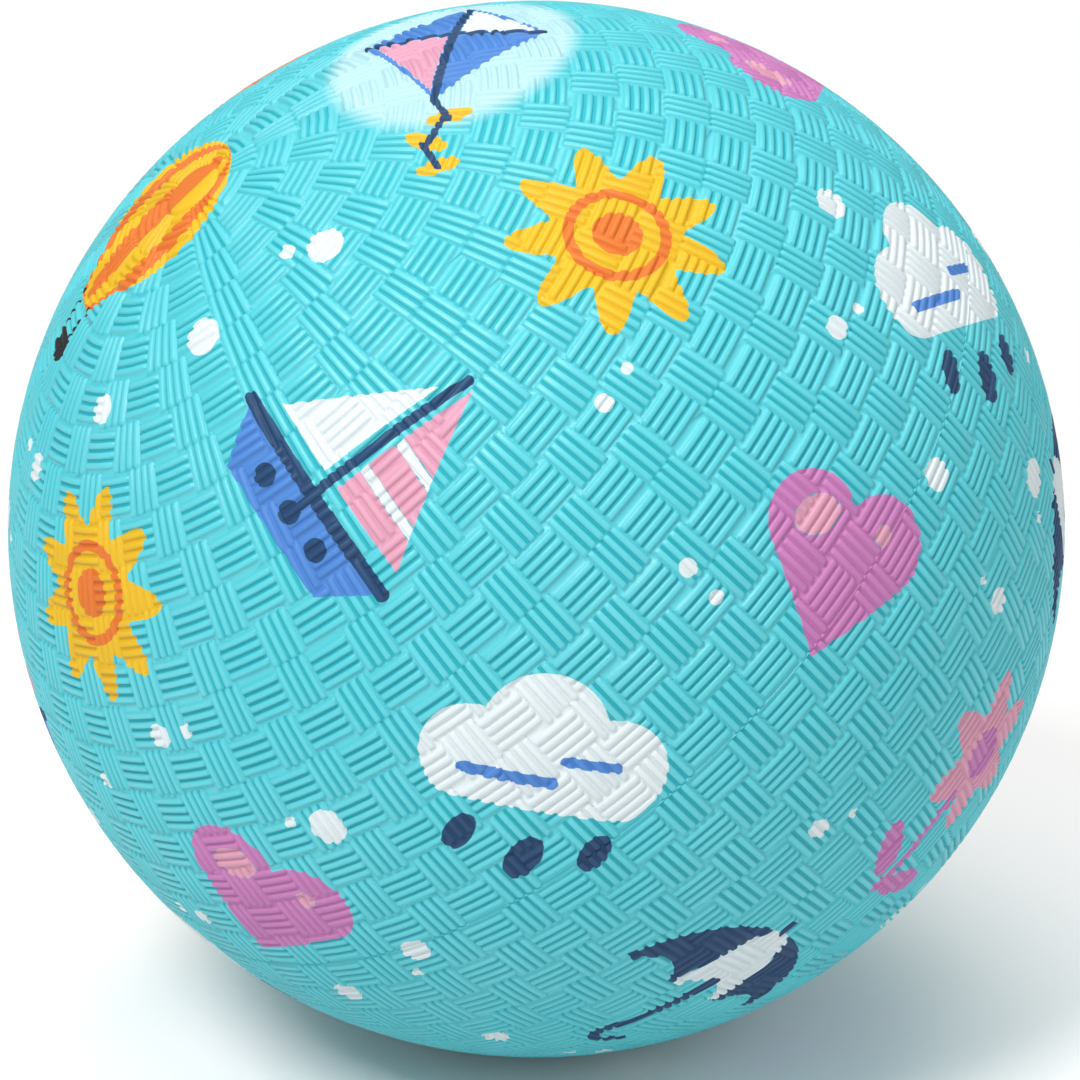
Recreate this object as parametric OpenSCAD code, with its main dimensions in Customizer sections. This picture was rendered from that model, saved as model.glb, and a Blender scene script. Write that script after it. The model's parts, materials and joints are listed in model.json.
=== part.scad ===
// Inflatable rubber playground ball: a moulded cover over an airtight bladder, with a
// needle valve at the lower end of the moulding axis. Lengths are in millimetres, the
// origin is the centre of the ball, and +Z is up as the ball lies on the floor.

/* [Ball] */
// Diameter over the crests of the moulded weave
ball_d = 178; // [120:1:260]
// Lean of the moulding axis away from upright, in degrees
axis_lean = 42; // [0:1:90]
// Heading of the axis's upper end, in degrees from +X towards +Y
axis_heading = 202; // [0:1:359]

/* [Cover] */
// Thickness of the cover, measured to the crests of the weave
cover_wall = 1.6; // [1.2:0.1:4]
// Depth of the moulded weave, to which the smooth valve seat lies lower too
weave_depth = 0.5; // [0.2:0.05:1]
// Diameter of the smooth seat round the valve
seat_d = 18; // [16:0.5:30]

/* [Bladder] */
// Thickness of the airtight bladder
bladder_wall = 0.6; // [0.3:0.05:2]
// Diameter of the patch that stiffens the bladder round the valve
patch_d = 40; // [30:1:60]
// Thickness of that patch
patch_t = 0.8; // [0.4:0.1:2]

/* [Valve housing] */
// Diameter of the flange that is bonded to the patch
flange_d = 24; // [20:1:28]
// Thickness of the flange
flange_t = 1.2; // [0.6:0.1:2]
// Diameter of the neck, which fills the hole in the cover
neck_d = 9; // [8:0.5:12]
// Diameter of the stem that hangs into the ball
stem_d = 11; // [9:0.5:16]
// Length of the stem below the flange
stem_len = 12; // [8:0.5:20]

/* [Valve core] */
// Diameter of the self-sealing core
core_d = 5; // [4.5:0.25:6]
// Length of the core's tapered tip, beyond the stem
tip_len = 3; // [1:0.5:6]
// Diameter of the tip's end
tip_d = 2.6; // [2:0.1:4]
// Diameter of the hole that guides the inflation needle
port_d = 2.4; // [1.8:0.1:3]
// Depth of that hole below the valve seat
port_depth = 6.5; // [4:0.5:10]
// Width and depth of the bevel at the hole's mouth
port_bevel = 0.5; // [0.2:0.1:0.6]

/* [Hidden] */
$fn = 180;

// Each layer of the ball is named by the radius of its outer face
ball_r = ball_d / 2;
seat_r = ball_r - weave_depth;
bladder_r = ball_r - cover_wall;
patch_r = bladder_r - bladder_wall;
flange_r = patch_r - patch_t;
air_r = flange_r - flange_t;
// Height of the stem's lower end above the ball's centre, along the valve's axis
stem_end = air_r - stem_len;
// The valve points out of the lower end of the moulding axis
valve_lean = axis_lean + 180;
// How far a cut runs past the face that it opens
overrun = 1;

// Turns a piece that is drawn with the valve's axis upwards to where the valve is
module at_valve() {
    rotate([0, valve_lean, axis_heading]) children();
}

// A hollow ball
module shell(outer_r, wall) {
    difference() {
        sphere(r = outer_r);
        sphere(r = outer_r - wall);
    }
}

// A round piece of such a shell, as wide as d, centred on the valve's axis
module shell_disc(outer_r, wall, d) {
    intersection() {
        shell(outer_r, wall);
        cylinder(d = d, h = outer_r + overrun);
    }
}

// The hole through a layer that the housing's neck fills
module neck_hole() {
    cylinder(d = neck_d, h = ball_r + overrun);
}

// A round post along the valve's axis, from one height up to a layer's curved face
module post(d, from, face_r) {
    intersection() {
        translate([0, 0, from]) cylinder(d = d, h = ball_r - from);
        sphere(r = face_r);
    }
}

module cover() {
    color("mediumturquoise")
    at_valve() difference() {
        shell(ball_r, cover_wall);
        neck_hole();
        // The smooth seat lies at the bottom of the weave
        difference() {
            cylinder(d = seat_d, h = ball_r + overrun);
            sphere(r = seat_r);
        }
    }
}

module bladder() {
    color("dimgray")
    at_valve() difference() {
        shell(bladder_r, bladder_wall);
        neck_hole();
    }
}

module valve_patch() {
    color("gray")
    at_valve() difference() {
        shell_disc(patch_r, patch_t, patch_d);
        neck_hole();
    }
}

module valve_housing() {
    color("turquoise")
    at_valve() difference() {
        union() {
            shell_disc(flange_r, flange_t, flange_d);
            post(neck_d, air_r, seat_r);
            post(stem_d, stem_end, flange_r);
        }
        translate([0, 0, stem_end - overrun]) cylinder(d = core_d, h = ball_r);
    }
}

module valve_core() {
    color("whitesmoke")
    at_valve() difference() {
        union() {
            post(core_d, stem_end, seat_r);
            translate([0, 0, stem_end - tip_len]) cylinder(d1 = tip_d, d2 = core_d, h = tip_len);
        }
        translate([0, 0, seat_r - port_depth]) cylinder(d = port_d, h = port_depth + overrun);
        // The bevel leads the needle in
        translate([0, 0, seat_r - port_bevel])
            cylinder(d1 = port_d, d2 = port_d + 4 * port_bevel, h = 2 * port_bevel);
    }
}

cover();
bladder();
valve_patch();
valve_housing();
valve_core();
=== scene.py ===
import json
import math

import bpy
import numpy as np
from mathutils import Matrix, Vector


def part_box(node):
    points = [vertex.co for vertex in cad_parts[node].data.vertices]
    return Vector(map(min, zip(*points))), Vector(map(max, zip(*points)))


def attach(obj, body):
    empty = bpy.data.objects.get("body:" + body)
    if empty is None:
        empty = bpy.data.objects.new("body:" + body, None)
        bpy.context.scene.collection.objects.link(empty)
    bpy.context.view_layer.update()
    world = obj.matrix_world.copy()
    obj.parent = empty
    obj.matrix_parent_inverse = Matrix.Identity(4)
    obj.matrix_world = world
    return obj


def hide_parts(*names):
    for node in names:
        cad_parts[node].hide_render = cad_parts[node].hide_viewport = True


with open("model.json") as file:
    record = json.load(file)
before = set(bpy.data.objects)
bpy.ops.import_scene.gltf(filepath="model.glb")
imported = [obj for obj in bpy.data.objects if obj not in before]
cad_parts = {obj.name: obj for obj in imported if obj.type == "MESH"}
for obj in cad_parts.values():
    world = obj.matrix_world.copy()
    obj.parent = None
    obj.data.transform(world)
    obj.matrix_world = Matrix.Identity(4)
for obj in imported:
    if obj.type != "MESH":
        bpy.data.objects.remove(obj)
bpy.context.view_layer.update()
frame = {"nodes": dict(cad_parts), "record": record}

# Bladder: a thin ball of black butyl rubber that holds the air. It is moulded first,
# dusted with talc, and the cover is cured over it, so that its skin is matte and blotchy.
mm = 0.001
talc_blotch = 9 * mm
gloss_blotch = 4 * mm
gloss_swing = 0.08
skin_grain = 0.5 * mm
skin_relief = 0.03 * mm
# Random blotches keep between these two values, nearly everywhere
darkest_blotch, lightest_blotch = 0.3, 0.7


class Recipe:
    """The nodes of one material. Each method adds a node and returns the socket that it ends in."""

    def __init__(self, name):
        self.material = bpy.data.materials.new(name)
        self.material.use_nodes = True
        self.tree = self.material.node_tree
        self.finish = self.tree.nodes["Principled BSDF"]

    def join(self, source, socket):
        """Fills a socket from another node's socket, or with a plain number, point or colour."""
        if isinstance(source, bpy.types.NodeSocket):
            self.tree.links.new(source, socket)
        elif socket.type == "RGBA":
            socket.default_value = (*source, 1.0)
        else:
            socket.default_value = source

    def add(self, kind, output, inputs, **settings):
        node = self.tree.nodes.new(kind)
        for setting, value in settings.items():
            setattr(node, setting, value)
        for place, source in inputs.items():
            self.join(source, node.inputs[place])
        return node.outputs[output]

    def maths(self, operation, *terms, clamp=False):
        inputs = dict(enumerate(terms))
        return self.add("ShaderNodeMath", 0, inputs, operation=operation, use_clamp=clamp)

    def vector(self, operation, *terms):
        output = "Value" if operation in ("LENGTH", "DISTANCE", "DOT_PRODUCT") else "Vector"
        return self.add("ShaderNodeVectorMath", output, dict(enumerate(terms)), operation=operation)

    def place(self):
        """Where the point is on the ball, in metres from its centre."""
        return self.add("ShaderNodeTexCoord", "Object", {})

    def mottle(self, grain, detail=2.0):
        """Soft random blotches, each about as wide as grain."""
        inputs = {"Vector": self.place(), "Scale": 1 / grain, "Detail": detail}
        return self.add("ShaderNodeTexNoise", "Fac", inputs)

    def between(self, share, low, high):
        """A number that goes from low to high as share goes from a blotch's dark to its light."""
        inputs = {"Value": share, "From Min": darkest_blotch, "From Max": lightest_blotch,
                  "To Min": low, "To Max": high}
        return self.add("ShaderNodeMapRange", "Result", inputs)

    def blend(self, share, under, over):
        inputs = {"Factor": share, "A": under, "B": over}
        mix = self.tree.nodes.new("ShaderNodeMix")
        mix.data_type = "RGBA"
        for place, source in inputs.items():
            socket = next(s for s in mix.inputs if s.name == place and s.enabled)
            self.join(source, socket)
        return next(s for s in mix.outputs if s.enabled)

    def give(self, place, source):
        """Fills one of the finish's own sockets."""
        self.join(source, self.finish.inputs[place])

    def relief(self, height, depth):
        """Tilts the surface as if height, from 0 to 1, stood up by depth."""
        inputs = {"Height": height, "Distance": depth, "Strength": 1.0}
        self.give("Normal", self.add("ShaderNodeBump", "Normal", inputs))


def cured_rubber(name, colour, dusted, dust_share, roughness):
    """Plain rubber as it leaves a mould: blotches of talc or bloom over it, and a fine grain."""
    recipe = Recipe(name)
    dust = recipe.between(recipe.mottle(talc_blotch, detail=5.0), 0.0, dust_share)
    recipe.give("Base Color", recipe.blend(dust, colour, dusted))
    gloss = recipe.between(recipe.mottle(gloss_blotch), roughness - gloss_swing, roughness + gloss_swing)
    recipe.give("Roughness", gloss)
    recipe.relief(recipe.mottle(skin_grain), skin_relief)
    return recipe.material


def dress(node, material):
    """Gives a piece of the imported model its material."""
    mesh = frame["nodes"][node].data
    mesh.materials.clear()
    mesh.materials.append(material)
    mesh.shade_smooth()


black_butyl = (0.0194, 0.0194, 0.0212)
talc = (0.4342, 0.4342, 0.4125)
dress("bladder", cured_rubber("butyl_rubber", black_butyl, talc, dust_share=0.45, roughness=0.75))

# Valve patch: a round of thicker butyl sheet, vulcanised to the inside of the bladder.
# It spreads the pull of the valve, and shows the cloth print of the sheet it was cut from.
grey_butyl = (0.0343, 0.0343, 0.0369)
sheet_blotch = 6 * mm
thread = 0.8 * mm
cloth_relief = 0.05 * mm


def sheet_rubber(name, colour, dusted, dust_share, roughness):
    """Calendered sheet: rubber with the fine square print of the cloth it was rolled up in."""
    recipe = Recipe(name)
    dust = recipe.between(recipe.mottle(sheet_blotch, detail=4.0), 0.0, dust_share)
    recipe.give("Base Color", recipe.blend(dust, colour, dusted))
    recipe.give("Roughness", roughness)
    # At a scale of 1, the wave texture has 10 / pi bands to a metre
    inputs = {"Vector": recipe.place(), "Scale": math.pi / 10 / thread}
    warp = recipe.add("ShaderNodeTexWave", "Fac", inputs, bands_direction="X")
    weft = recipe.add("ShaderNodeTexWave", "Fac", inputs, bands_direction="Y")
    recipe.relief(recipe.maths("MAXIMUM", warp, weft), cloth_relief)
    return recipe.material


dress("valve_patch", sheet_rubber("butyl_sheet", grey_butyl, talc, dust_share=0.3, roughness=0.7))

# Valve housing: a soft boot moulded in the colour of the cover, with a flange bonded to the
# patch. Its neck fills the hole in the cover and ends flush in the smooth valve seat.
turquoise = (0.085, 0.60, 0.67)
pale_turquoise = (0.14, 0.66, 0.75)
housing_rubber = cured_rubber("housing_rubber", turquoise, pale_turquoise, dust_share=0.2, roughness=0.5)
dress("valve_housing", housing_rubber)

# Valve core: a plug of pale gum rubber, pressed into the housing. It closes by itself round
# the slit below the needle's guide hole, and is left without pigment to stay soft.
gum = (0.7605, 0.7305, 0.6445)
yellowed_gum = (0.5906, 0.5271, 0.4125)
dress("valve_core", cured_rubber("gum_rubber", gum, yellowed_gum, dust_share=0.5, roughness=0.45))

# Cover: natural rubber, moulded with a basket weave of ridges that gives it grip, then
# printed. The mould's two halves meet at a parting line, and each half is made here as a
# cap and a band, so that the four pieces together close round the bladder.
cover_low, cover_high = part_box("cover")
ball_r = (cover_high.z - cover_low.z) / 2
bladder_r = (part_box("bladder")[1].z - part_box("bladder")[0].z) / 2
weave_depth = 0.5 * mm

# The weave runs round the axis that carries the valve at its lower end
port = next(mount for mount in frame["record"]["mounts"] if mount["name"] == "needle_port")
pole = -np.array(port["axis"])
pole /= np.linalg.norm(pole)
side_way = np.cross((0.0, 0.0, 1.0), pole)
side_way /= np.linalg.norm(side_way)
start_way = np.cross(side_way, pole)

full_turn = 2 * math.pi
# Pairs of tiles in each row, from the parting line to the pole: the mould drops some on the way
pairs_in_rows = (37, 37, 37, 36, 36, 34, 34, 30, 30, 27, 25, 23, 20, 17, 14, 11, 8, 5)
rows_in_half = len(pairs_in_rows)
# How many rows make up a band, and how many there are as far as the valve's rim
rows_in_band = 6
rows_to_valve = 17
# As angles about the ball's centre or the weave's axis: the height of a row, the place of the
# first tile, and how far the mould's lower half is turned against the upper one
row_pitch = math.radians(4.81)
first_tile_at = math.radians(6.75)
halves_apart = math.radians(-1.4)
band_top = rows_in_band * row_pitch

bars_in_tile = 4
# The share of its pitch that a bar fills, and of a pair's width that the two kinds of tile fill
bar_share = 0.71
upright_share = 0.43
level_share = 0.55
# From a row's middle to the outermost bar of a level tile, and to the free end of an upright one
level_reach = math.radians(1.9)
upright_reach = math.radians(2.6)
# Where bars of two rows meet end to end, each stops this near the edge between the rows. Bars
# that miss each other by less than the slack still meet
least_gap = math.radians(0.06)
meeting_slack = 0.25 * mm
# How unevenly the mould was cut: where a bar ends, and how tall the lowest bars are
end_stray = 0.05 * mm
lowest_bar = 0.93
# Points across a bar, from one foot to the other, and along it, by their distance from an end,
# with how high an end stands there, as a share of the bar's height
bar_stations = np.array([-1.0, -0.8, -0.35, 0.35, 0.8, 1.0])
end_stations = np.array([0.0, 0.25 * mm, 0.6 * mm])
end_heights = np.array([0.0, 0.66, 1.0])
joined_end_heights = np.array([0.6, 0.86, 1.0])
# How light the painted shade leaves the open floor between tiles: the deep painted shade is for narrow
# grooves
open_floor_shade = 0.8
# A bar's section is an oval with full shoulders: the higher the crown, the fuller they are
crown = 3.0
bar_heights = np.clip(1 - np.abs(bar_stations) ** crown, 0, 1) ** (1 / crown)


def weave_radius(height):
    """The distance from the ball's centre of a height given as a share of the weave's depth."""
    return ball_r - weave_depth * (1 - height)


def on_ball(latitude, longitude, radius):
    """Points of the ball, from angles about the weave's axis."""
    level = np.cos(latitude) * radius
    along = np.multiply.outer(level * np.cos(longitude), start_way)
    across = np.multiply.outer(level * np.sin(longitude), side_way)
    return along + across + np.multiply.outer(np.sin(latitude) * radius, pole)


class Row:
    """One ring of tiles, upright and level by turns, with the places of its bars."""

    def __init__(self, number):
        self.number = number
        self.middle = (number + 0.5) * row_pitch
        self.pairs = pairs_in_rows[number]
        self.pair_width = full_turn / self.pairs
        steps = np.arange(self.pairs) + (0.5 if number % 2 == 0 else 0.0)
        self.uprights = first_tile_at + steps * self.pair_width
        self.levels = self.uprights + self.pair_width / 2
        self.half_upright = upright_share * self.pair_width / 2
        self.half_level = level_share * self.pair_width / 2

    def faces_upright(self, longitude, half_width):
        """Whether a bar at that longitude meets one of this row's upright tiles."""
        off = (longitude - self.uprights[0]) / self.pair_width
        off = np.abs(off - np.round(off)) * self.pair_width
        return off < self.half_upright + half_width


rows = [Row(number) for number in range(rows_in_half)]


def bar_places(half_width):
    """Offsets from a tile's middle of the stations across its bars, and the bars' half width."""
    pitch = 2 * half_width / (bars_in_tile - 1 + bar_share)
    middles = (np.arange(bars_in_tile) - (bars_in_tile - 1) / 2) * pitch
    half_bar = bar_share * pitch / 2
    return (middles[:, None] + bar_stations * half_bar).ravel(), middles, half_bar


def along_bar(low, high, stations_high, low_heights, high_heights):
    """Stations and heights from one end of a bar to the other, with one at its middle."""
    low_side = low[..., None] + stations_high
    high_side = (high[..., None] - stations_high)[..., ::-1]
    middle = ((low + high) / 2)[..., None]
    places = np.concatenate([low_side, middle, high_side], axis=-1)
    heights = np.concatenate([low_heights, np.ones_like(middle), high_heights[..., ::-1]], axis=-1)
    return places, heights


def end_profile(joined):
    """The heights at a bar's end: down to the floor, or only a kink where it runs into the next bar."""
    return np.where(np.asarray(joined)[..., None], joined_end_heights, end_heights)


def shades(height, open_ends):
    """The painted shade of each point, from dark in the grooves to light on the crests: as high as it
    stands, but lighter along a tile's open edges.
    """
    shade = height.copy()
    for edge, is_open in zip((0, -1), open_ends):
        shade[:, :, edge] = open_floor_shade
        shade[:, edge, :] = np.where(is_open, open_floor_shade, shade[:, edge, :])
    return shade


def lay_bars(steps, rises, chance):
    """Places and heights along the bars of all tiles, at each of the stations across them."""
    tall = chance.uniform(lowest_bar, 1.0, steps.shape[:2])[..., None, None]
    heights = rises[:, :, None, :] * bar_heights[:, None] * tall
    places = np.repeat(steps, bar_stations.size, axis=1)
    return places, heights.reshape(places.shape)


def upright_tiles(row, below, above, chance):
    """Bars along the meridians, longer than the row where they face level tiles."""
    across, middles, half_bar = bar_places(row.half_upright)
    bar_at = row.uprights[:, None] + middles
    floor = row.number * row_pitch
    slack = half_bar + meeting_slack / (ball_r * math.cos(row.middle))
    joins_below = below.faces_upright(bar_at, slack) if below else np.ones(bar_at.shape, bool)
    joins_above = above.faces_upright(bar_at, slack) if above else np.ones(bar_at.shape, bool)
    stray = chance.uniform(-end_stray, end_stray, (2, *bar_at.shape)) / ball_r
    low = np.where(joins_below, floor + least_gap, row.middle - upright_reach + stray[0])
    high = np.where(joins_above, floor + row_pitch - least_gap, row.middle + upright_reach + stray[1])
    low_end = end_profile(joins_below)
    high_end = end_profile(joins_above & (above is not None))
    steps, rises = along_bar(low, high, end_stations / ball_r, low_end, high_end)
    latitude, height = [part.swapaxes(1, 2) for part in lay_bars(steps, rises, chance)]
    longitude = np.broadcast_to((row.uprights[:, None] + across)[:, None, :], height.shape)
    open_ends = [np.repeat(rises[:, :, edge] == 0, bar_stations.size, axis=1) for edge in (0, -1)]
    return latitude, longitude, height, shades(height, open_ends)


def level_tiles(row, chance):
    """Bars along the parallels, stacked one above the other."""
    across = bar_places(level_reach)[0]
    circle_r = ball_r * math.cos(row.middle)
    shape = (row.pairs, bars_in_tile)
    stray = chance.uniform(-end_stray, end_stray, (2, *shape)) / circle_r
    low = row.levels[:, None] - row.half_level + stray[0]
    high = row.levels[:, None] + row.half_level + stray[1]
    free_end = end_profile(np.zeros(shape, bool))
    steps, rises = along_bar(low, high, end_stations / circle_r, free_end, free_end)
    longitude, height = lay_bars(steps, rises, chance)
    latitude = np.broadcast_to((row.middle + across)[:, None], height.shape)
    return latitude, longitude, height, shades(height, (True, True))


def tiles_of(number, ends_weave=False):
    """Latitudes, longitudes, heights and shades of a row's upright tiles, and of its level ones."""
    chance = np.random.default_rng(number)
    below = rows[number - 1] if number else None
    above = None if ends_weave else rows[number + 1]
    upright = upright_tiles(rows[number], below, above, chance)
    return upright, level_tiles(rows[number], chance)


class Shell:
    """The mesh of one piece of the cover, built up ring by ring from the parting line to the pole."""

    def __init__(self):
        self.values = ([], [], [], [])
        self.count = 0
        self.faces = []
        self.rims = []

    def points(self, *values):
        """Adds points by latitude, longitude, radius and shade, and returns their numbers."""
        shape = np.broadcast(*values).shape
        for kept, given in zip(self.values, values):
            kept.append(np.broadcast_to(given, shape).ravel())
        numbers = np.arange(self.count, self.count + math.prod(shape)).reshape(shape)
        self.count += numbers.size
        return numbers

    def weave_points(self, latitude, longitude, height, shade):
        """Adds points of the outer face, with a height in place of the radius."""
        return self.points(latitude, longitude, weave_radius(height), shade)

    def grid(self, numbers):
        """Faces between the neighbours in each tile's grid of points."""
        lower_left, lower_right = numbers[:, :-1, :-1], numbers[:, :-1, 1:]
        upper_left, upper_right = numbers[:, 1:, :-1], numbers[:, 1:, 1:]
        corners = np.stack([lower_left, lower_right, upper_right, upper_left], axis=-1)
        self.faces.append(corners.reshape(-1, 4))

    def close_sides(self, left, right, left_steps, right_steps):
        """Fills the narrow floor between one tile's side and the next one's."""
        edges = np.concatenate([left, right], axis=1)
        pattern = zip_edges(left_steps, right_steps)
        self.faces.append(edges[:, pattern].reshape(-1, 3))

    def join_rings(self, lower, upper):
        """Fills the space between two closed rings of points, each a pair of numbers and longitudes."""
        lower, lower_at = lower
        upper, upper_at = upper
        # The upper ring is counted from its point nearest to the lower ring's first
        off = np.angle(np.exp(1j * (upper_at - lower_at[0])))
        first = int(np.argmin(np.abs(off)))
        start = lower_at[0] + off[first]
        upper = np.roll(upper, -first)
        # The hair keeps rounding from sending that first point a whole turn on
        hair = 1e-9
        upper_at = start + np.mod(np.roll(upper_at, -first) - upper_at[first] + hair, full_turn)
        lower_at = np.append(lower_at, lower_at[0] + full_turn)
        upper_at = np.append(upper_at, start + full_turn)
        numbers = np.concatenate([lower, lower[:1], upper, upper[:1]])
        self.faces.append(numbers[zip_edges(lower_at, upper_at)[:, ::-1]])


def zip_edges(left_steps, right_steps):
    """Triangles between two edges that run the same way, their points counted through both in turn."""
    triangles = []
    left, right = 0, 0
    left_last, right_last = len(left_steps) - 1, len(right_steps) - 1
    offset = len(left_steps)
    while left < left_last or right < right_last:
        left_next = left < left_last and (
            right == right_last or left_steps[left + 1] <= right_steps[right + 1])
        if left_next:
            triangles.append((left, offset + right, left + 1))
            left += 1
        else:
            triangles.append((left, offset + right, offset + right + 1))
            right += 1
    return np.array(triangles)


# The parting line is a low rib. Its heights are shares of the weave's depth
parting_line_height = 0.7
parting_line_foot = 0.05
parting_line_half = math.radians(0.06)
points_round_line = 16 * pairs_in_rows[0]
points_round_inside = 96
inside_step = math.radians(5)


def even_ring(shell, latitude, radius, count):
    """A ring of evenly spaced points."""
    longitude = first_tile_at + np.arange(count) * full_turn / count
    return shell.points(latitude, longitude, radius, open_floor_shade), longitude


def ring_of(parts, edge):
    """The points along the lower (0) or upper (-1) edge of a row, from its two kinds of tile in turn."""
    return np.concatenate([part[:, edge, :] for part in parts], axis=1).ravel()


def lower_edge_of(shell, number):
    """The lower edge of a row alone, for the piece below it to end in."""
    latitude, longitude, height, shade = [ring_of(pair, 0) for pair in zip(*tiles_of(number))]
    return shell.weave_points(latitude, longitude, height, shade), longitude


def add_row(shell, number, ends_weave):
    """Adds a row of tiles and returns its lower and upper edge."""
    upright, level = tiles_of(number, ends_weave)
    uprights = shell.weave_points(*upright)
    levels = shell.weave_points(*level)
    shell.grid(uprights)
    shell.grid(levels)
    upright_side = upright[0][0, :, 0]
    level_side = level[0][0, :, 0]
    shell.close_sides(uprights[:, :, -1], levels[:, :, 0], upright_side, level_side)
    next_uprights = np.roll(uprights[:, :, 0], -1, axis=0)
    shell.close_sides(levels[:, :, -1], next_uprights, level_side, upright_side)
    numbers = (uprights, levels)
    longitudes = (upright[1], level[1])
    return [(ring_of(numbers, edge), ring_of(longitudes, edge)) for edge in (0, -1)]


def add_rows(shell, numbers, ring=None, ends_weave=False):
    """Adds rows, joined to a ring below them, and returns their outermost edges."""
    lowest = ring
    for number in numbers:
        lower, upper = add_row(shell, number, ends_weave and number == numbers[-1])
        if ring:
            shell.join_rings(ring, lower)
        lowest = lowest or lower
        ring = upper
    return lowest, ring


def inside_copy(shell, ring):
    """The same ring on the inner face of the cover, and both marked as the rim of a piece."""
    numbers, longitude = ring
    latitude = np.concatenate(shell.values[0])[numbers]
    copy = shell.points(latitude, longitude, bladder_r, 0.0)
    shell.rims += [numbers, copy]
    return copy, longitude


def inside_rings(shell, highest, lowest):
    """Rings down the inner face of the cover, from one latitude nearly to the other."""
    latitudes = np.arange(highest, lowest + inside_step / 2, -inside_step)
    return [even_ring(shell, latitude, bladder_r, points_round_inside) for latitude in latitudes]


def join_all(shell, rings):
    for lower, upper in zip(rings, rings[1:]):
        shell.join_rings(lower, upper)


def band():
    """Half of the middle of the cover, from the parting line up to the cap."""
    shell = Shell()
    line = even_ring(shell, 0.0, weave_radius(parting_line_height), points_round_line)
    foot = even_ring(shell, parting_line_half, weave_radius(parting_line_foot), points_round_line)
    shell.join_rings(line, foot)
    ring = add_rows(shell, range(rows_in_band), foot)[1]
    top = lower_edge_of(shell, rows_in_band)
    shell.join_rings(ring, top)
    inner_top = inside_copy(shell, top)
    inner_line = inside_copy(shell, line)
    inside = inside_rings(shell, band_top - inside_step / 2, 0.0)
    join_all(shell, [top, inner_top, *inside, inner_line, line])
    return shell


def close_pole(shell, ring, radius, downwards=False):
    """Closes a ring to one point at the pole."""
    tip = shell.points(np.array([math.pi / 2]), 0.0, radius, open_floor_shade)
    numbers = ring[0]
    fan = np.stack([numbers, np.roll(numbers, -1), np.repeat(tip, numbers.size)], axis=1)
    shell.faces.append(fan[:, ::-1] if downwards else fan)


# The smooth disc's edge, as the distance past the last row and the share of the weave's depth
disc_height = 0.9
disc_profile = ((0.1 * mm, 0.0), (0.3 * mm, 0.6), (0.7 * mm, disc_height), (1.9 * mm, disc_height))
points_round_disc = 60


def smooth_cap():
    """The cap whose pole is a small smooth disc in the middle of the weave."""
    shell = Shell()
    rim, ring = add_rows(shell, range(rows_in_band, rows_in_half), ends_weave=True)
    weave_end = rows_in_half * row_pitch
    disc = [even_ring(shell, weave_end + out / ball_r, weave_radius(height), points_round_disc)
            for out, height in disc_profile]
    join_all(shell, [ring, *disc])
    close_pole(shell, disc[-1], weave_radius(disc_height))
    inside = inside_rings(shell, weave_end, band_top)
    close_pole(shell, inside[0], bladder_r, downwards=True)
    join_all(shell, [*inside, inside_copy(shell, rim), rim])
    return shell


seat_r = 9 * mm
neck_r = 4.5 * mm
seat_rim_w = 2.2 * mm
seat_round = 0.3 * mm
rim_outer = seat_r + seat_rim_w
# From the rim inwards to the neck's hole: distance from the valve's axis, and share of the depth
seat_profile = ((rim_outer + seat_round, 0.0), (rim_outer, 0.7), (rim_outer - seat_round, 1.0),
                (seat_r + seat_round, 1.0), (seat_r, 0.8), (seat_r - seat_round / 2, 0.1),
                (seat_r - seat_round, 0.0), (neck_r + seat_round, 0.0), (neck_r, -0.3))
points_round_seat = 120


def valve_cap():
    """The cap that carries the valve: a raised rim, the smooth seat inside it, and the neck's hole."""
    shell = Shell()
    rim, ring = add_rows(shell, range(rows_in_band, rows_to_valve), ends_weave=True)
    seat = [even_ring(shell, math.acos(out / ball_r), weave_radius(height), points_round_seat)
            for out, height in seat_profile]
    hole_at = math.acos(neck_r / bladder_r)
    hole = even_ring(shell, hole_at, bladder_r, points_round_seat)
    inside = inside_rings(shell, hole_at - inside_step, band_top)
    join_all(shell, [ring, *seat, hole, *inside, inside_copy(shell, rim), rim])
    return shell


# The print: pad-printed inks, each laid down in one pass over the whole ball. A motif is drawn
# on a round plate whose radius is 1, and stamped on the ball at its real size.


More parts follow.
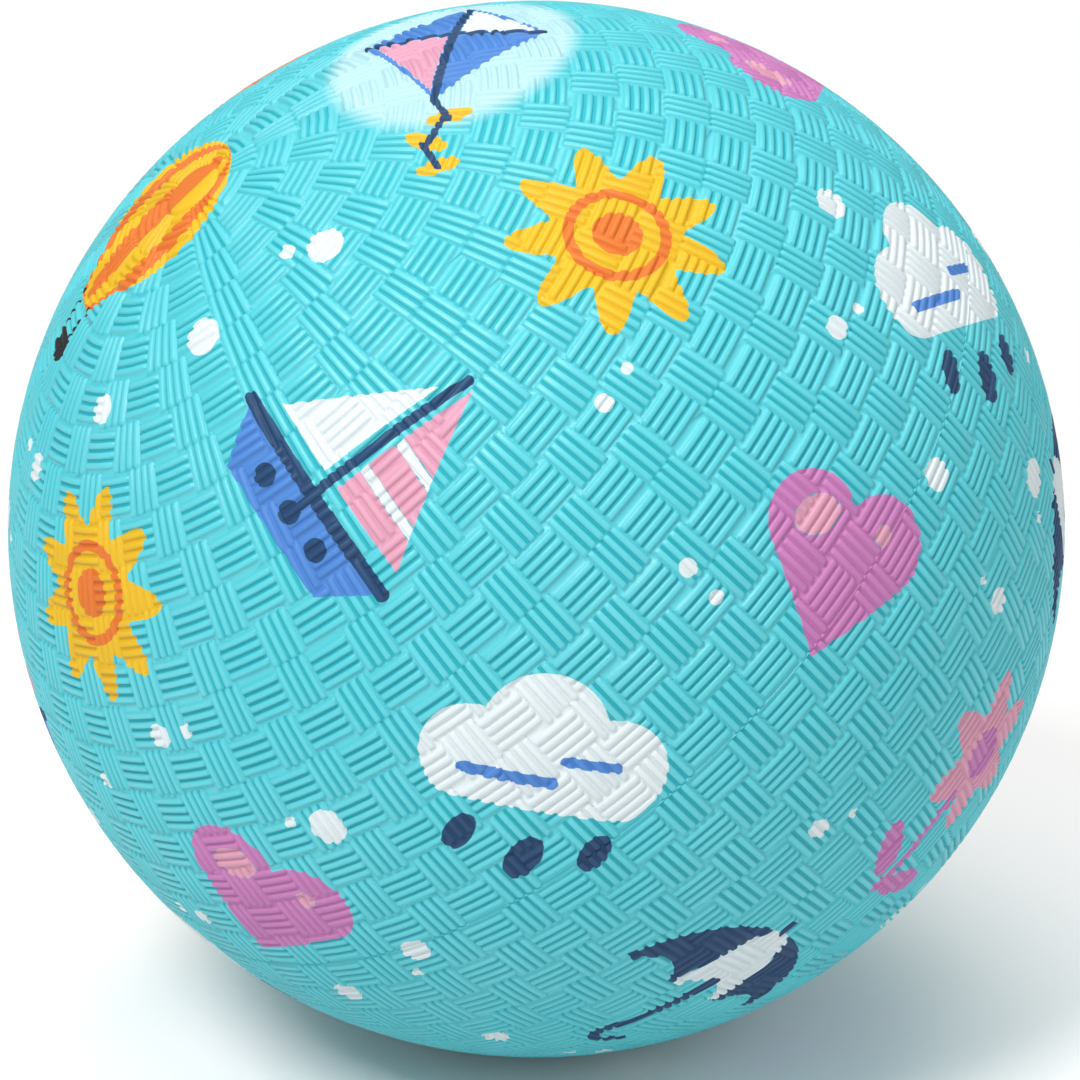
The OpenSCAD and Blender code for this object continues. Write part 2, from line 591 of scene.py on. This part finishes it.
class Plate:
    """Where a point of the surface lies on the motif's plate, and the shapes that are cut in it."""

    def __init__(self, recipe, spot):
        self.add, self.maths, self.vector = recipe.add, recipe.maths, recipe.vector
        self.spot = spot

    def oval(self, x, y, wide, high, turn=0):
        """Distance from the edge of an oval, less than 0 inside it."""
        from_middle = self.vector("LENGTH", self.turned(x, y, turn, (wide, high, 1)))
        narrow = min(wide, high)
        return self.maths("MULTIPLY_ADD", from_middle, narrow, -narrow)

    def disc(self, x, y, radius):
        return self.maths("SUBTRACT", self.vector("DISTANCE", self.spot, (x, y, 0)), radius)

    def turned(self, x, y, turn=0, scale=(1, 1, 1)):
        """The spot as seen from a place on the plate, with its axes turned and scaled."""
        inputs = {"Vector": self.spot, "Location": (x, y, 0), "Rotation": (0, 0, math.radians(turn)),
                  "Scale": scale}
        return self.add("ShaderNodeMapping", "Vector", inputs, vector_type="TEXTURE")

    def strip(self, x, y, long, wide, turn=0):
        """A straight strip with round ends, as long and wide as given."""
        off = self.vector("ABSOLUTE", self.turned(x, y, turn))
        off = self.vector("SUBTRACT", off, ((long - wide) / 2, 0, 0))
        off = self.vector("MAXIMUM", off, (0, 0, 0))
        return self.maths("SUBTRACT", self.vector("LENGTH", off), wide / 2)

    def side(self, x, y, turn):
        """The half of the plate behind a straight edge through a place, which faces along turn."""
        way = (math.cos(math.radians(turn)), math.sin(math.radians(turn)), 0)
        across = self.vector("DOT_PRODUCT", self.spot, way)
        return self.maths("SUBTRACT", across, x * way[0] + y * way[1])

    def panel(self, *corners):
        """A flat-sided shape, its corners given anticlockwise."""
        edges = []
        for (x, y), (next_x, next_y) in zip(corners, corners[1:] + corners[:1]):
            turn = math.degrees(math.atan2(next_y - y, next_x - x)) - 90
            edges.append(self.side(x, y, turn))
        return self.common(*edges)

    def petals(self, x, y, middle, depth, count):
        """A round shape whose edge swings in and out count times."""
        apart = self.add("ShaderNodeSeparateXYZ", "X", {"Vector": self.turned(x, y)})
        angle = self.maths("ARCTAN2", apart.node.outputs["Y"], apart)
        swing = self.maths("COSINE", self.maths("MULTIPLY", angle, count))
        return self.disc(x, y, self.maths("MULTIPLY_ADD", swing, depth, middle))

    def hoop(self, x, y, radius, wide):
        """A ring as thick as wide, on a circle of that radius."""
        off = self.maths("ABSOLUTE", self.disc(x, y, radius))
        return self.maths("SUBTRACT", off, wide / 2)

    def both(self, *shapes):
        """Several shapes taken as one."""
        return self.fold("MINIMUM", shapes)

    def common(self, *shapes):
        """Only what the shapes share."""
        return self.fold("MAXIMUM", shapes)

    def cut(self, shape, *holes):
        """A shape with others left out of it."""
        return self.common(shape, self.maths("MULTIPLY", self.both(*holes), -1))

    def fold(self, operation, shapes):
        kept = shapes[0]
        for shape in shapes[1:]:
            kept = self.maths(operation, kept, shape)
        return kept


def dot(plate):
    """A bare round dot as large as its plate."""
    return {"white": plate.disc(0, 0, 1)}


def kite(plate):
    """A kite with crossed spars, and bows on its tail."""
    sail = plate.panel((0, 0.86), (-0.5, 0.34), (0, -0.42), (0.5, 0.34))
    spars = plate.both(plate.strip(0, 0.22, 1.3, 0.05, 90), plate.strip(0, 0.34, 1.02, 0.05))
    tail = plate.both(plate.strip(0.05, -0.5, 0.24, 0.04, -60),
                      plate.strip(0.04, -0.68, 0.26, 0.04, -110),
                      plate.strip(0.03, -0.86, 0.24, 0.04, -60))
    bows = plate.both(plate.oval(0.1, -0.57, 0.13, 0.055, 20),
                      plate.oval(0.0, -0.76, 0.13, 0.055, -25),
                      plate.oval(0.08, -0.94, 0.12, 0.05, 20))
    pink_panel = plate.panel((-0.03, 0.31), (-0.44, 0.31), (-0.03, -0.33))
    white_panel = plate.panel((0.03, 0.37), (0.44, 0.37), (0.03, 0.79))
    return {"wash": plate.oval(0, 0.2, 0.66, 0.84),
            "blue": plate.cut(sail, pink_panel, white_panel),
            "navy": plate.both(spars, tail),
            "white": white_panel,
            "yellow": bows,
            "pink": pink_panel}


def cloud(plate):
    """A cloud with two blue lines of wind, over three drops."""
    puffs = plate.both(plate.disc(-0.5, 0.14, 0.36), plate.disc(-0.02, 0.36, 0.46),
                       plate.disc(0.5, 0.18, 0.38), plate.strip(0.0, 0.0, 1.6, 0.44))
    drops = plate.both(plate.oval(-0.46, -0.5, 0.1, 0.17, -20), plate.oval(0.02, -0.62, 0.12, 0.2, -20),
                       plate.oval(0.5, -0.5, 0.1, 0.17, -20))
    wind = plate.both(plate.strip(-0.22, 0.02, 0.72, 0.09), plate.strip(0.34, 0.2, 0.44, 0.08))
    return {"white": puffs, "blue": wind, "navy": drops}


def sun(plate):
    """A sun with pointed rays round an orange ring."""
    middle = plate.both(plate.disc(0, 0, 0.22), plate.hoop(0, 0, 0.42, 0.1))
    return {"yellow": plate.petals(0, 0, 0.78, 0.19, 9), "orange": middle}


def flower(plate):
    """A flower head on a bent stem with two leaves."""
    stem = plate.both(plate.strip(0.02, -0.42, 0.9, 0.1, 96), plate.oval(-0.24, -0.6, 0.26, 0.11, 145),
                      plate.oval(0.3, -0.66, 0.26, 0.11, 30))
    return {"orchid": plate.both(stem, plate.disc(0, 0.34, 0.19)),
            "pink": plate.petals(0, 0.34, 0.46, 0.13, 6)}


def sprig(plate):
    """A branch with paired leaves."""
    stem = plate.both(plate.strip(-0.16, -0.36, 1.0, 0.12, 62), plate.strip(0.3, 0.3, 0.9, 0.1, 38))
    leaves = []
    for x, y, turn in ((-0.52, -0.36, 150), (-0.1, -0.62, 15), (-0.3, 0.1, 130), (0.26, -0.24, -5),
                       (0.14, 0.5, 105), (0.62, 0.16, 0), (0.72, 0.62, 40)):
        leaves.append(plate.oval(x, y, 0.26, 0.12, turn))
    return {"blue": plate.both(stem, *leaves)}


def rainbow(plate):
    """Three arches that end in puffs of cloud."""
    arches = [plate.common(plate.hoop(0, -0.34, radius, 0.2), plate.side(0, -0.34, -90))
              for radius in (0.9, 0.7, 0.5)]
    puffs = plate.both(*(plate.disc(way * x, y, radius) for way in (-1, 1)
                         for x, y, radius in ((0.86, -0.36, 0.17), (0.62, -0.4, 0.22), (0.4, -0.4, 0.15))))
    return {"orange": plate.cut(arches[0], puffs),
            "yellow": plate.cut(arches[1], puffs),
            "pink": plate.cut(arches[2], puffs),
            "white": puffs}


def boat(plate):
    """A sailing boat with a striped sail and three portholes."""
    jib = plate.panel((-0.06, 0.7), (-0.6, -0.2), (-0.06, -0.2))
    sail = plate.panel((0.08, 0.86), (0.08, -0.2), (0.74, -0.2))
    stripes = plate.both(plate.strip(0.4, 0.02, 1.2, 0.07), plate.strip(0.3, 0.3, 1.2, 0.07))
    mast = plate.strip(0.01, 0.2, 1.4, 0.07, 90)
    rail = plate.strip(0, -0.36, 1.66, 0.1)
    portholes = [plate.disc(x, -0.55, 0.08) for x in (-0.3, 0, 0.3)]
    return {"pink": plate.cut(sail, stripes),
            "white": plate.both(jib, plate.common(sail, stripes)),
            "blue": plate.panel((-0.8, -0.34), (-0.52, -0.74), (0.52, -0.74), (0.8, -0.34)),
            "navy": plate.both(mast, rail, *portholes)}


def air_balloon(plate):
    """A hot-air balloon with orange gores, and its basket."""
    skirt = plate.panel((-0.5, 0.02), (-0.14, -0.5), (0.14, -0.5), (0.5, 0.02))
    envelope = plate.both(plate.disc(0, 0.3, 0.6), skirt)
    side_gores = plate.cut(plate.oval(0, 0.2, 0.5, 0.7), plate.oval(0, 0.2, 0.34, 0.69))
    gores = plate.both(plate.oval(0, 0.2, 0.14, 0.66), side_gores)
    ropes = plate.both(plate.strip(-0.12, -0.6, 0.3, 0.03, 100), plate.strip(0.12, -0.6, 0.3, 0.03, 80))
    return {"yellow": envelope,
            "orange": plate.common(gores, envelope),
            "black": plate.both(ropes, plate.strip(0, -0.82, 0.3, 0.2))}


def heart(plate):
    """A heart with a small shine."""
    lobes = plate.both(plate.disc(-0.36, 0.26, 0.42), plate.disc(0.36, 0.26, 0.42),
                       plate.panel((-0.69, 0.0), (0, -0.78), (0.69, 0.0), (0, 0.5)))
    shine = plate.both(plate.oval(-0.34, 0.32, 0.22, 0.16, 35), plate.disc(0.34, 0.34, 0.09))
    return {"orchid": plate.cut(lobes, shine), "pink": shine}


def umbrella(plate):
    """An open umbrella with light and dark panels and a hooked handle."""
    scallops = [plate.disc(-0.57, 0.0, 0.22), plate.disc(0, 0.0, 0.24), plate.disc(0.57, 0.0, 0.22)]
    shade = plate.cut(plate.disc(0, 0.0, 0.86), plate.side(0, 0.06, 90), *scallops)
    light_panel = plate.oval(0, 0.06, 0.3, 0.84)
    stick = plate.strip(0, -0.2, 1.0, 0.09, 90)
    hook = plate.common(plate.hoop(0.15, -0.66, 0.15, 0.09), plate.side(0, -0.66, 90))
    tip = plate.strip(0, 0.9, 0.16, 0.07, 90)
    return {"navy": plate.both(plate.cut(shade, light_panel), stick, hook, tip),
            "white": plate.common(shade, light_panel)}


# Each motif with the radius of its plate
motifs = [(kite, 30 * mm), (sun, 18 * mm), (cloud, 22 * mm), (flower, 24 * mm), (rainbow, 21 * mm),
          (air_balloon, 25 * mm), (boat, 24 * mm), (heart, 19 * mm), (umbrella, 23 * mm), (sprig, 22 * mm)]
# The places lie on a spiral down the ball. From one to the next, the motif is the one that is
# motif_step further on in the list
motif_count = 30
motif_step = 7
most_turn = 0.9
golden_turn = math.pi * (3 - math.sqrt(5))
spiral_start = math.radians(230)
# The dots have a finer spiral of their own. Some places stay bare, and some dots have a small one beside
dot_spots = 160
dot_share = 0.85
least_dot, most_dot = 1.5 * mm, 3.4 * mm
paired_share = 0.5
small_dot = 1.1 * mm
small_dot_shares = (0.8, 1.3)
small_dot_off = 6.5 * mm
print_margin = 1.5 * mm
print_seed = 5


def spiral_spot(index, count):
    """One of count places spread evenly over a ball, on a spiral down from its top."""
    height = 1 - (2 * index + 1) / count
    across = math.sqrt(1 - height * height)
    angle = spiral_start + index * golden_turn
    return np.array([across * math.cos(angle), across * math.sin(angle), height])


class Stamp:
    """One motif on the ball: which one, where, how large, and which way up."""

    def __init__(self, kind, spot, radius, turn):
        self.kind = kind
        self.spot = spot
        self.radius = radius
        aside = np.cross((0.0, 0.0, 1.0), spot)
        aside /= np.linalg.norm(aside)
        up = np.cross(spot, aside)
        self.right = math.cos(turn) * aside + math.sin(turn) * up
        self.up = math.cos(turn) * up - math.sin(turn) * aside


def has_room(spot, radius, pictures):
    """Whether a dot there would miss the motifs and the valve's seat."""
    def apart(other):
        return math.acos(np.dot(spot, other)) * ball_r

    clear = all(apart(other.spot) > other.radius + radius + print_margin for other in pictures)
    return clear and apart(-pole) > rim_outer + radius


def lay_out_print():
    """The motifs on one spiral, and white dots of many sizes on a finer one, in the room between."""
    chance = np.random.default_rng(print_seed)
    stamps = []
    # The spiral's last place stays bare, because it is where the ball rests
    for index in range(motif_count - 1):
        kind = index * motif_step % len(motifs)
        radius = motifs[kind][1]
        spot = spiral_spot(index, motif_count)
        if math.acos(np.dot(spot, -pole)) * ball_r > radius + rim_outer:
            stamps.append(Stamp(kind + 1, spot, radius, chance.uniform(-most_turn, most_turn)))
    pictures = list(stamps)
    for index in range(dot_spots):
        radius = chance.uniform(least_dot, most_dot)
        spot = spiral_spot(index, dot_spots)
        if chance.random() < dot_share and has_room(spot, radius, pictures):
            dot_stamp = Stamp(0, spot, radius, chance.uniform(0, full_turn))
            stamps.append(dot_stamp)
            beside = spot + dot_stamp.right * small_dot_off / ball_r
            beside /= np.linalg.norm(beside)
            if chance.random() < paired_share and has_room(beside, small_dot, pictures):
                stamps.append(Stamp(0, beside, small_dot * chance.uniform(*small_dot_shares), 0.0))
    return stamps


stamps = lay_out_print()


def print_places(points, face_starts, face_sizes, corners):
    """For each face's corners the place on the nearest plate and the plate's size, and each face's motif."""
    ways = points / np.linalg.norm(points, axis=1)[:, None]
    middles = np.add.reduceat(ways[corners], face_starts, axis=0) / face_sizes[:, None]
    spots = np.array([stamp.spot for stamp in stamps])
    reaches = np.array([(stamp.radius + print_margin) / ball_r for stamp in stamps])
    off = np.arccos(np.clip(middles @ spots.T, -1, 1)) / reaches
    nearest = np.argmin(off, axis=1)
    kinds = np.array([stamp.kind for stamp in stamps], float)[nearest]
    kinds[np.min(off, axis=1) >= 1] = -1
    on_corners = np.repeat(nearest, face_sizes)
    sizes = np.array([stamp.radius for stamp in stamps])[on_corners]
    rights = np.array([stamp.right for stamp in stamps])[on_corners]
    ups = np.array([stamp.up for stamp in stamps])[on_corners]
    at = ways[corners] * ball_r / sizes[:, None]
    places = np.stack([np.sum(at * rights, axis=1), np.sum(at * ups, axis=1), sizes], axis=1)
    return places.astype(np.float32), kinds.astype(np.float32)


# Inks in the order in which they are printed, from the palest. Each has its colour, how far
# its edge feathers out, and how much of the rubber it hides
crisp = 0.10 * mm
inks = {
    "wash": ((0.58, 0.77, 0.81), 3.0 * mm, 0.75),
    "white": ((0.72, 0.80, 0.82), crisp, 1.0),
    "yellow": ((0.77, 0.47, 0.0), crisp, 1.0),
    "pink": ((0.70, 0.33, 0.45), crisp, 1.0),
    "orchid": ((0.55, 0.19, 0.46), crisp, 1.0),
    "orange": ((0.72, 0.17, 0.01), crisp, 1.0),
    "blue": ((0.06, 0.22, 0.60), crisp, 1.0),
    "navy": ((0.0, 0.045, 0.14), crisp, 1.0),
    "black": ((0.004, 0.004, 0.008), crisp, 1.0),
}

# The rubber between the inks: paler in wide blotches, and a deeper colour in the grooves, which is painted
# shade
bloomed_turquoise = (0.17, 0.64, 0.71)
most_bloom = 0.35
bloom_blotch = 22 * mm
# Painted shade: the colour that the narrow grooves deepen to, and how fast they reach it
painted_groove_shade = (0.01, 0.43, 0.50)
groove_shade_bias = 1.3
# An ink's edge wavers, and steps back where it crosses a groove
edge_blotch = 0.9 * mm
edge_waver = 0.05 * mm
groove_setback = 0.08 * mm
# Bare ridges are the glossiest. Ink and grooves are duller
ridge_roughness = (0.34, 0.46)
duller_by = 0.2
cover_specular = 0.6
ridge_blotch = 3 * mm
cover_grain = 0.35 * mm
cover_relief = 0.02 * mm


def printed_rubber():
    """The cover's rubber with its inks, which reach the ridges better than the grooves, and with painted
    shade in the grooves.
    """
    recipe = Recipe("printed_rubber")
    plate_place = recipe.add("ShaderNodeAttribute", "Vector", {}, attribute_name="print_place")
    kind = recipe.add("ShaderNodeAttribute", "Fac", {}, attribute_name="print_kind")
    ridge_shade = recipe.add("ShaderNodeAttribute", "Fac", {}, attribute_name="ridge_shade")
    size = recipe.add("ShaderNodeSeparateXYZ", "Z", {"Vector": plate_place})
    plate = Plate(recipe, recipe.vector("MULTIPLY", plate_place, (1, 1, 0)))
    edges = {}
    # Each motif is moved this many plates off wherever a face holds another one
    far_off = 9.0
    for number, draw in enumerate([dot] + [motif for motif, radius in motifs]):
        here = recipe.maths("COMPARE", kind, number, 0.5)
        away = recipe.maths("MULTIPLY_ADD", here, -far_off, far_off)
        for ink, edge in draw(plate).items():
            edges.setdefault(ink, []).append(recipe.maths("ADD", edge, away))
    # The ridge attribute is each point's painted shade: where it is low, the ink steps back, the rubber is
    # duller and its colour is painted darker
    groove = recipe.maths("SUBTRACT", 1.0, ridge_shade)
    waver = recipe.between(recipe.mottle(edge_blotch, detail=3.0), -edge_waver, edge_waver)
    ragged = recipe.maths("MULTIPLY_ADD", groove, groove_setback, waver)
    bloom = recipe.between(recipe.mottle(bloom_blotch, detail=3.0), 0.0, most_bloom)
    colour = recipe.blend(bloom, turquoise, bloomed_turquoise)
    # Painted shade: the colour deepens towards the bottoms of the grooves
    colour = recipe.blend(recipe.maths("POWER", groove, groove_shade_bias), colour, painted_groove_shade)
    printed = 0.0
    for ink, (ink_colour, feather, cover_share) in inks.items():
        off = recipe.maths("MULTIPLY_ADD", plate.both(*edges[ink]), size, ragged)
        laid = recipe.maths("MULTIPLY_ADD", off, -1 / feather, 0.5, clamp=True)
        laid = recipe.maths("MULTIPLY", laid, cover_share)
        colour = recipe.blend(laid, colour, ink_colour)
        printed = recipe.maths("MAXIMUM", printed, laid)
    recipe.give("Base Color", colour)
    gloss = recipe.between(recipe.mottle(ridge_blotch), *ridge_roughness)
    gloss = recipe.maths("MULTIPLY_ADD", recipe.maths("MAXIMUM", printed, groove), duller_by, gloss)
    recipe.give("Roughness", gloss)
    recipe.give("Specular IOR Level", cover_specular)
    recipe.relief(recipe.mottle(cover_grain, detail=3.0), cover_relief)
    return recipe.material


# Each piece is laid out flat for its colours on a square map whose side is 1. A cap's two faces
# are discs, a large and a small one, and the walls between them lie outside the small one
outer_disc_at, outer_disc_r = 0.5, 0.485
inner_disc_at, inner_disc_r = 0.07, 0.055
wall_w = 0.01
# A band's outer face is cut into strips, one above another, with the inner face above them all
strips = 4
strip_foot, strip_pitch, strip_height = 0.005, 0.23, 0.215
inner_strip_foot, inner_strip_height = 0.945, 0.03
map_margin = 0.03


def cap_map(latitude, longitude, inner, wall):
    """The places on its flat map of the corners of a cap's faces."""
    rim_at = math.pi / 2 - band_top + level_reach
    out = np.sin((math.pi / 2 - latitude) / 2) / math.sin(rim_at / 2)
    out = np.where(inner, inner_disc_r * out + wall, outer_disc_r * out)
    middle = np.where(inner, inner_disc_at, outer_disc_at)
    return np.stack([middle + out * np.cos(longitude), middle + out * np.sin(longitude)], axis=1)


def band_map(latitude, longitude, inner, wall, face_middle):
    """The places on its flat map of the corners of a band's faces."""
    face_turn = np.mod(face_middle, full_turn)
    strip = np.floor(face_turn * strips / full_turn)
    off = longitude - face_middle
    near = face_turn + off - full_turn * np.round(off / full_turn)
    up = latitude / (band_top + level_reach)
    along = np.where(inner, near / full_turn, near * strips / full_turn - strip)
    outer_up = strip_foot + strip_pitch * strip + strip_height * up
    inner_up = inner_strip_foot + inner_strip_height * up + np.where(up > 0.5, wall, -wall)
    return np.stack([along * (1 - 2 * map_margin) + map_margin, np.where(inner, inner_up, outer_up)], axis=1)


def fill_mesh(mesh, points, starts, corners):
    """Gives an empty mesh its points and its faces."""
    mesh.vertices.add(len(points))
    mesh.vertices.foreach_set("co", points.astype(np.float32).ravel())
    mesh.loops.add(len(corners))
    mesh.loops.foreach_set("vertex_index", corners.astype(np.int32))
    mesh.polygons.add(len(starts))
    mesh.polygons.foreach_set("loop_start", starts.astype(np.int32))
    mesh.update(calc_edges=True)
    mesh.shade_smooth()


def put_in_scene(name, data):
    thing = bpy.data.objects.new(name, data)
    bpy.context.scene.collection.objects.link(thing)
    return thing


def crease(mesh, rims):
    """Keeps the shading apart on both sides of a piece's rims."""
    pairs = np.zeros(len(mesh.edges) * 2, np.int32)
    mesh.edges.foreach_get("vertices", pairs)
    mesh.edges.foreach_set("use_edge_sharp", np.isin(pairs, rims).reshape(-1, 2).all(axis=1))


def make_piece(name, shell, lower_half, is_cap):
    """Turns a finished shell into a piece of the cover, with its place on the print and its flat map."""
    latitude, longitude, radius, shade = [np.concatenate(kept) for kept in shell.values]
    faces = [part for part in shell.faces if part.size]
    sizes = np.concatenate([np.full(len(part), part.shape[1]) for part in faces])
    corners = np.concatenate([part.ravel() for part in faces])
    starts = np.concatenate([[0], np.cumsum(sizes)[:-1]])
    face_of = np.repeat(np.arange(len(sizes)), sizes)
    # Only the inner face and the walls have faces that reach below the middle of the rubber
    middle_r = (weave_radius(0) + bladder_r) / 2
    inner = (np.minimum.reduceat(radius[corners], starts) < middle_r)[face_of]
    wall = (radius[corners] - bladder_r) / (ball_r - bladder_r) * wall_w
    first = longitude[corners[starts]]
    off = longitude[corners] - first[face_of]
    off -= full_turn * np.round(off / full_turn)
    face_middle = (first + np.add.reduceat(off, starts) / sizes)[face_of]
    if is_cap:
        flat = cap_map(latitude[corners], longitude[corners], inner, wall)
    else:
        flat = band_map(latitude[corners], longitude[corners], inner, wall, face_middle)
    points = on_ball(latitude, longitude, radius)
    if lower_half:
        # The lower half is the upper one mirrored, so its faces are turned over
        points = on_ball(-latitude, longitude + halves_apart, radius)
        turned = 2 * starts[face_of] + sizes[face_of] - 1 - np.arange(len(corners))
        corners = corners[turned]
        flat = flat[turned]
    mesh = bpy.data.meshes.new(name)
    fill_mesh(mesh, points, starts, corners)
    crease(mesh, np.concatenate(shell.rims))
    mesh.uv_layers.new(name="OFBake").uv.foreach_set("vector", flat.astype(np.float32).ravel())
    places, kinds = print_places(points, starts, sizes, corners)
    plate_places = mesh.attributes.new("print_place", "FLOAT_VECTOR", "CORNER")
    plate_places.data.foreach_set("vector", places.ravel())
    mesh.attributes.new("print_kind", "FLOAT", "FACE").data.foreach_set("value", kinds)
    # Each point's painted shade, which also tells the material where the grooves are
    ridges = mesh.attributes.new("ridge_shade", "FLOAT", "POINT")
    ridges.data.foreach_set("value", shade.astype(np.float32))
    mesh.materials.append(cover_rubber)
    piece = put_in_scene(name, mesh)
    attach(piece, "root")
    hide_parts("cover")


cover_rubber = printed_rubber()
make_piece("cover_upper_band", band(), lower_half=False, is_cap=False)
make_piece("cover_lower_band", band(), lower_half=True, is_cap=False)
make_piece("cover_upper_cap", smooth_cap(), lower_half=False, is_cap=True)
make_piece("cover_lower_cap", valve_cap(), lower_half=True, is_cap=True)

# Floor: a sheet of white studio paper, which isn't part of the ball. The camera sees it white
# wherever the lamps reach it, and it keeps the ball's shadow.
floor_mesh = bpy.data.meshes.new("floor")
floor_half = 5.0
floor_z = cover_low.z
floor_corners = [(x * floor_half, y * floor_half, floor_z) for x, y in ((-1, -1), (1, -1), (1, 1), (-1, 1))]
floor_mesh.from_pydata(floor_corners, [], [(0, 1, 2, 3)])
floor = put_in_scene("floor", floor_mesh)
# To the camera the paper is brighter and a little warm, which makes up for the turquoise light
# that the ball throws on it, and further out it is all white
paper_white = (0.8, 0.8, 0.8)
paper_seen = (1.18, 1.14, 1.13)
fade_start, fade_end = 0.10, 0.28
paper = Recipe("studio_paper")
seen = paper.add("ShaderNodeLightPath", "Is Camera Ray", {})
paper.give("Base Color", paper.blend(seen, paper_white, paper_seen))
paper.give("Roughness", 1.0)
paper.give("Specular IOR Level", 0.0)
from_ball = paper.vector("LENGTH", paper.vector("MULTIPLY", paper.place(), (1, 1, 0)))
fade_inputs = {"Value": from_ball, "From Min": fade_start, "From Max": fade_end}
fade = paper.add("ShaderNodeMapRange", "Result", fade_inputs, interpolation_type="SMOOTHSTEP")
white = paper.add("ShaderNodeEmission", "Emission", {"Strength": 1.0})
papers = {"Fac": paper.maths("MULTIPLY", seen, fade), 1: paper.finish.outputs["BSDF"], 2: white}
surface = paper.add("ShaderNodeMixShader", "Shader", papers)
paper.join(surface, paper.tree.nodes["Material Output"].inputs["Surface"])
floor_mesh.materials.append(paper.material)

# Room: even white light from all round, which the camera sees as white paper, and four soft
# lamps, the strongest at the upper left, whose light picks out the weave.
room_brightness = 0.35
room = bpy.data.worlds.new("room")
bpy.context.scene.world = room
room.use_nodes = True
room_tree = room.node_tree
room_light = room_tree.nodes["Background"]
room_light.inputs["Color"].default_value = (1, 1, 1, 1)
paths = room_tree.nodes.new("ShaderNodeLightPath")
brightness = room_tree.nodes.new("ShaderNodeMix")
brightness.inputs["A"].default_value = room_brightness
brightness.inputs["B"].default_value = 1.0
room_tree.links.new(paths.outputs["Is Camera Ray"], brightness.inputs["Factor"])
room_tree.links.new(brightness.outputs["Result"], room_light.inputs["Strength"])


def soft_lamp(name, place, side, power):
    """A square softbox that faces the ball."""
    light = bpy.data.lights.new(name, "AREA")
    light.size = side
    light.energy = power
    lamp = put_in_scene(name, light)
    lamp.location = place
    lamp.rotation_euler = (-Vector(place)).to_track_quat("-Z", "Y").to_euler()


soft_lamp("key_lamp", (-0.65, -0.85, 1.3), side=0.6, power=18)
soft_lamp("top_lamp", (0.1, 0.2, 1.6), side=1.2, power=12)
soft_lamp("right_lamp", (1.3, -0.7, 0.9), side=0.9, power=3)
soft_lamp("front_lamp", (0.1, -1.7, 0.5), side=1.2, power=3)

# Camera: a long lens that looks down on the ball from the front. It was fitted to the outline
# of the ball and to the rows of its weave.
camera_away = 0.733
camera_rise = math.radians(20)
view_side = 1080
focal_px = 4321.6
middle_px = (536.33, 528.94)
camera_data = bpy.data.cameras.new("camera")
camera_data.sensor_width = 36
camera_data.lens = camera_data.sensor_width * focal_px / view_side
camera_data.shift_x = (view_side / 2 - middle_px[0]) / view_side
camera_data.shift_y = (middle_px[1] - view_side / 2) / view_side
camera = put_in_scene("camera", camera_data)
camera.location = (0, -camera_away * math.cos(camera_rise), camera_away * math.sin(camera_rise))
camera.rotation_euler = (math.pi / 2 - camera_rise, 0, 0)
bpy.context.scene.camera = camera
bpy.context.scene.view_settings.view_transform = "Standard"
